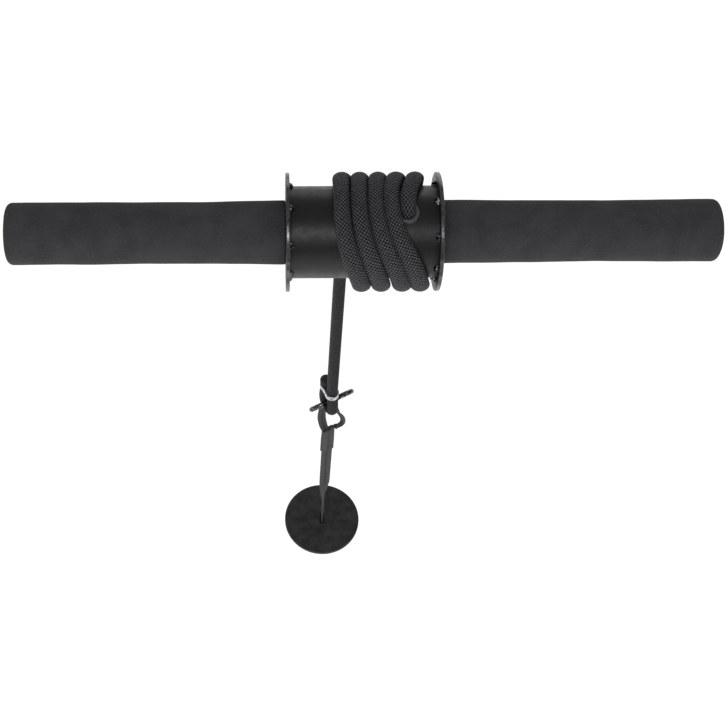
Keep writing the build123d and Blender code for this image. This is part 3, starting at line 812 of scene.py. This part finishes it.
class ROLLER_OT_strap(bpy.types.Operator):
    """Weave the strap: the eye on the clip, the sewn end, the twisted webbing and its loop round the pin"""
    bl_idname = "wrist_roller.strap"
    bl_label = "Strap"

    def execute(self, context):
        settings = context.scene.roller_strap
        cloth = woven_webbing(settings.dark, settings.light)
        width, thick = settings.width / MM, settings.thickness / MM
        pin = middle("stop_pin") / MM
        axis = Vector((pin.x, pin.y, 0))

        top = axis + UP * -391.0
        bar = axis + UP * -336.8
        outer = Vector((0.55, -0.42, 0.72))
        turning = Vector((0.3, -0.55, 0.6))
        eye = [
            (top + ALONG_CLIP * 2.2 - UP * 12, 6.0, ALONG_CLIP),
            (top + ALONG_CLIP * 3.0 - UP * 1, 5.6, ALONG_CLIP),
            (top + Vector((8.5, 0.9, 3.5)), 5.2, turning),
            (top + Vector((13.2, 0.9, 11.5)), 5.2, outer),
            (top + Vector((12.0, 0.6, 23.0)), 5.2, outer),
            (top + Vector((7.0, -1.4, 36.0)), 5.6, turning),
            (bar - ACROSS_CLIP * 5.0 - UP * 5, 8.0, ALONG_CLIP),
            (bar - ACROSS_CLIP * 4.4 + UP * 4.4, 9.0, ALONG_CLIP),
            (bar + ACROSS_CLIP * 4.4 + UP * 4.4, 9.0, ALONG_CLIP),
            (bar + ACROSS_CLIP * 5.4 - UP * 5, 8.4, ALONG_CLIP),
            (top + Vector((-5.8, 3.6, 36.0)), 7.6, ALONG_CLIP),
            (top + Vector((-6.8, 2.2, 21.0)), 8.0, ALONG_CLIP),
            (top + Vector((-5.0, 0.4, 8.0)), 7.6, ALONG_CLIP),
            (top - ALONG_CLIP * 2.6 - UP * 1, 6.6, ALONG_CLIP),
            (top - ALONG_CLIP * 2.2 - UP * 12, 6.0, ALONG_CLIP),
        ]
        places, widths, sides = zip(*eye)
        loop = band("strap_loop", places, widths, [1.9] * len(eye), sides, 16, 0.12)
        settle(loop, "strap_loop", "strap", cloth, ("strap_eye",))

        layers = []
        for sign in (1, -1):
            route = [axis + ACROSS_CLIP * sign * 1.05 + UP * z for z in (-390.5, -396, -408, -421, -433)]
            layers.append(band("layer", route, [10.8, 11.8, 12.3, 12.4, 12.4], [1.9, 2.1, 2.1, 2.1, 2.0],
                               [ALONG_CLIP] * 5, 10, 0.15))
        settle(joined(layers), "strap_sewn_layers", "strap", cloth,
               ("strap_sewn_end",))

        self.sew(settings, axis)

        x_side, y_side = Vector((1, 0, 0)), Vector((0, 1, 0))
        heights = [-425, -436, -462, -492, -508, -518, -526, -534, -545, -563, -583, -596]
        turns = [0, 0, 0, 0, 12, 32, 45, 58, 78, 90, 90, 90]
        route = [axis + UP * z for z in heights]
        sides = [x_side * cos(radians(t)) + y_side * sin(radians(t)) for t in turns]
        bend = pin.z
        lower = [(0.6, bend + 6.6), (3.5, bend + 3.4), (3.5, bend - 3.5), (-3.5, bend - 3.5),
                 (-3.5, bend + 3.2), (-1.3, bend + 6.4)]
        route += [Vector((axis.x + x, axis.y, z)) for x, z in lower]
        sides += [y_side] * len(lower)
        count = len(route)
        widths = [width] * count
        thicks = [thick] * len(heights) + [1.8] * len(lower)
        webbing = band("strap_web", route, widths, thicks, sides, 12, 0.32)
        settle(webbing, "strap_web", "strap", cloth, ("strap_webbing",))

        dress(plated_steel("zinc_plated_pin", settings.zinc, settings.bright_zinc, 0.3, 0.45), "stop_pin")
        return {"FINISHED"}

    def sew(self, settings, axis):
        """Rows of sewing thread through both layers of the sewn end."""
        thread = sewing_thread(settings.dark, settings.thread)
        thick = 0.34
        long = settings.stitch / MM / (2 * thick)
        stitches = []
        rows = [(height, "bar") for height in (-393.0, -395.2, -397.4, -427.5, -429.8)]
        rows += [(height, "side") for height in np.arange(-424, -399, 3.4)]
        for face in (1, -1):
            for height, kind in rows:
                spots = np.linspace(-4.2, 4.2, 5) if kind == "bar" else (-4.6, 4.6)
                for spot in spots:
                    clear_selection()
                    bpy.ops.mesh.primitive_uv_sphere_add(segments=8, ring_count=6, radius=thick * MM)
                    stitch = bpy.context.object
                    stitch.scale = (0.6 * long, 1, 1) if kind == "bar" else (1, 1, long)
                    stitch.rotation_euler = (0, 0, radians(CLIP_TURN))
                    place = axis + ALONG_CLIP * spot + ACROSS_CLIP * face * 2.08 + UP * height
                    stitch.location = place * MM
                    stitches.append(stitch)
        settle(joined(stitches), "strap_stitching", "strap", thread, smooth=180)


# ---------------------------------------------------------------- disc

class ROLLER_OT_disc(bpy.types.Operator):
    """Mould the rubber disc with its rim line and its slot"""
    bl_idname = "wrist_roller.disc"
    bl_label = "Disc"

    def execute(self, context):
        settings = context.scene.roller_disc
        low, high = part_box("load_disc")
        centre = middle("load_disc") / MM
        radius = (high[0] - low[0]) / 2 / MM
        top, bottom = high[2] / MM, low[2] / MM
        line, deep = radius - settings.groove_inset / MM, settings.groove_depth / MM
        face = [(0.0, top), (4.0, top), (9.0, top - 0.02), (line - 10, top), (line - 1.2, top),
                (line - 0.5, top - 0.1), (line, top - deep), (line + 0.5, top - 0.1), (line + 0.9, top)]
        edge = 1.3
        rim = arc((radius - edge, top - edge), edge, 90, 0, 6)
        rim += arc((radius - edge, bottom + edge), edge, 0, -90, 6)
        profile = face + rim + [(line - 10, bottom), (0.0, bottom)]
        points = [((centre.x + r) * MM, centre.y * MM, z * MM) for r, z in profile]
        disc = turned(points, centre * MM, (0, 0, 1), 128)
        clear_selection()
        bpy.ops.mesh.primitive_cube_add(size=1.0, location=centre * MM,
                                        scale=(4.4 * MM, 12.0 * MM, 20 * MM))
        cutter = context.object
        corners = cutter.modifiers.new("corners", "BEVEL")
        corners.width = 1.4 * MM
        corners.segments = 4
        apply_modifiers(cutter)
        slot = disc.modifiers.new("slot", "BOOLEAN")
        slot.object = cutter
        slot.solver = "EXACT"
        apply_modifiers(disc)
        bpy.data.objects.remove(cutter)
        rubber = moulded_rubber(settings.rubber, settings.dust)
        settle(disc, "rubber_disc", "disc", rubber, ("load_disc",), smooth=40)
        return {"FINISHED"}


# ---------------------------------------------------------------- stage

def softbox(name, place, target, width, power):
    """A large square light that points at the target."""
    lamp = bpy.data.lights.new(name, "AREA")
    lamp.shape = "SQUARE"
    lamp.size = width
    lamp.energy = power
    light = bpy.data.objects.new(name, lamp)
    bpy.context.collection.objects.link(light)
    light.location = place
    light.rotation_euler = (Vector(target) - Vector(place)).to_track_quat("-Z", "Y").to_euler()


class ROLLER_OT_stage(bpy.types.Operator):
    """Set the floor, the soft light and the camera"""
    bl_idname = "wrist_roller.stage"
    bl_label = "Stage"

    def execute(self, context):
        settings = context.scene.roller_stage
        clear_selection()
        bpy.ops.mesh.primitive_plane_add(size=40.0, location=(0, 0, settings.drop))
        floor = context.object
        floor.name = "floor"
        paper = new_finish("lit_white_paper")
        close_finish(paper, {"Base Color": settings.floor, "Roughness": 0.9, "Emission Color": settings.floor,
                             "Emission Strength": settings.glow}, {})
        floor.data.materials.append(paper)

        world = bpy.data.worlds.new("studio")
        context.scene.world = world
        world.use_nodes = True
        background = world.node_tree.nodes["Background"].inputs
        background["Color"].default_value = (1, 1, 1, 1)
        background["Strength"].default_value = settings.world
        softbox("key", (-0.3, -1.3, 1.7), (0, 0, -0.05), 0.9, settings.key)
        softbox("fill", (0.4, 2.2, 0.5), (0, 0, -0.05), 1.0, settings.fill)

        tilt, roll = radians(60.997), radians(-0.3026)
        look = Vector((0, cos(tilt), -sin(tilt)))
        level = Vector((1, 0, 0))
        high = level.cross(look)
        right = level * cos(roll) + high * sin(roll)
        upward = high * cos(roll) - level * sin(roll)
        lens = bpy.data.cameras.new("camera")
        lens.lens = settings.lens
        lens.sensor_width = 36.0
        lens.shift_x = settings.shift
        camera = bpy.data.objects.new("camera", lens)
        context.collection.objects.link(camera)
        turn = Matrix((right, upward, -look)).transposed().to_4x4()
        place = Vector((-60.22, -543.43, 804.47)) * MM
        camera.matrix_world = Matrix.Translation(place) @ turn
        context.scene.camera = camera
        context.scene.view_settings.view_transform = "Standard"
        return {"FINISHED"}


STEPS = (ROLLER_OT_rope, ROLLER_OT_grips, ROLLER_OT_drum, ROLLER_OT_clip, ROLLER_OT_strap,
         ROLLER_OT_disc, ROLLER_OT_stage)
GROUPS = {
    "roller_rope": RollerRopeSettings,
    "roller_grips": RollerGripSettings,
    "roller_steel": RollerSteelSettings,
    "roller_strap": RollerStrapSettings,
    "roller_disc": RollerDiscSettings,
    "roller_stage": RollerStageSettings,
}


class ROLLER_PT_panel(bpy.types.Panel):
    """The steps of the wrist roller and their settings"""
    bl_idname = "ROLLER_PT_panel"
    bl_label = "Wrist roller"
    bl_space_type = "VIEW_3D"
    bl_region_type = "UI"
    bl_category = "Wrist roller"

    def draw(self, context):
        for group in GROUPS:
            settings = getattr(context.scene, group)
            box = self.layout.box()
            for name in settings.__annotations__:
                box.prop(settings, name)
        for step in STEPS:
            self.layout.operator(step.bl_idname)


def register():
    """Register the classes and put the settings on the scene."""
    for group, kind in GROUPS.items():
        bpy.utils.register_class(kind)
        setattr(bpy.types.Scene, group, PointerProperty(type=kind))
    for kind in (*STEPS, ROLLER_PT_panel):
        bpy.utils.register_class(kind)


def unregister():
    """Undo what register did."""
    for kind in (ROLLER_PT_panel, *STEPS):
        bpy.utils.unregister_class(kind)
    for group, kind in GROUPS.items():
        delattr(bpy.types.Scene, group)
        bpy.utils.unregister_class(kind)


def main():
    """Run every step in order."""
    register()
    bpy.ops.wrist_roller.rope()
    bpy.ops.wrist_roller.grips()
    bpy.ops.wrist_roller.drum()
    bpy.ops.wrist_roller.clip()
    bpy.ops.wrist_roller.strap()
    bpy.ops.wrist_roller.disc()
    bpy.ops.wrist_roller.stage()
    clear_selection()


if __name__ == "__main__":
    main()
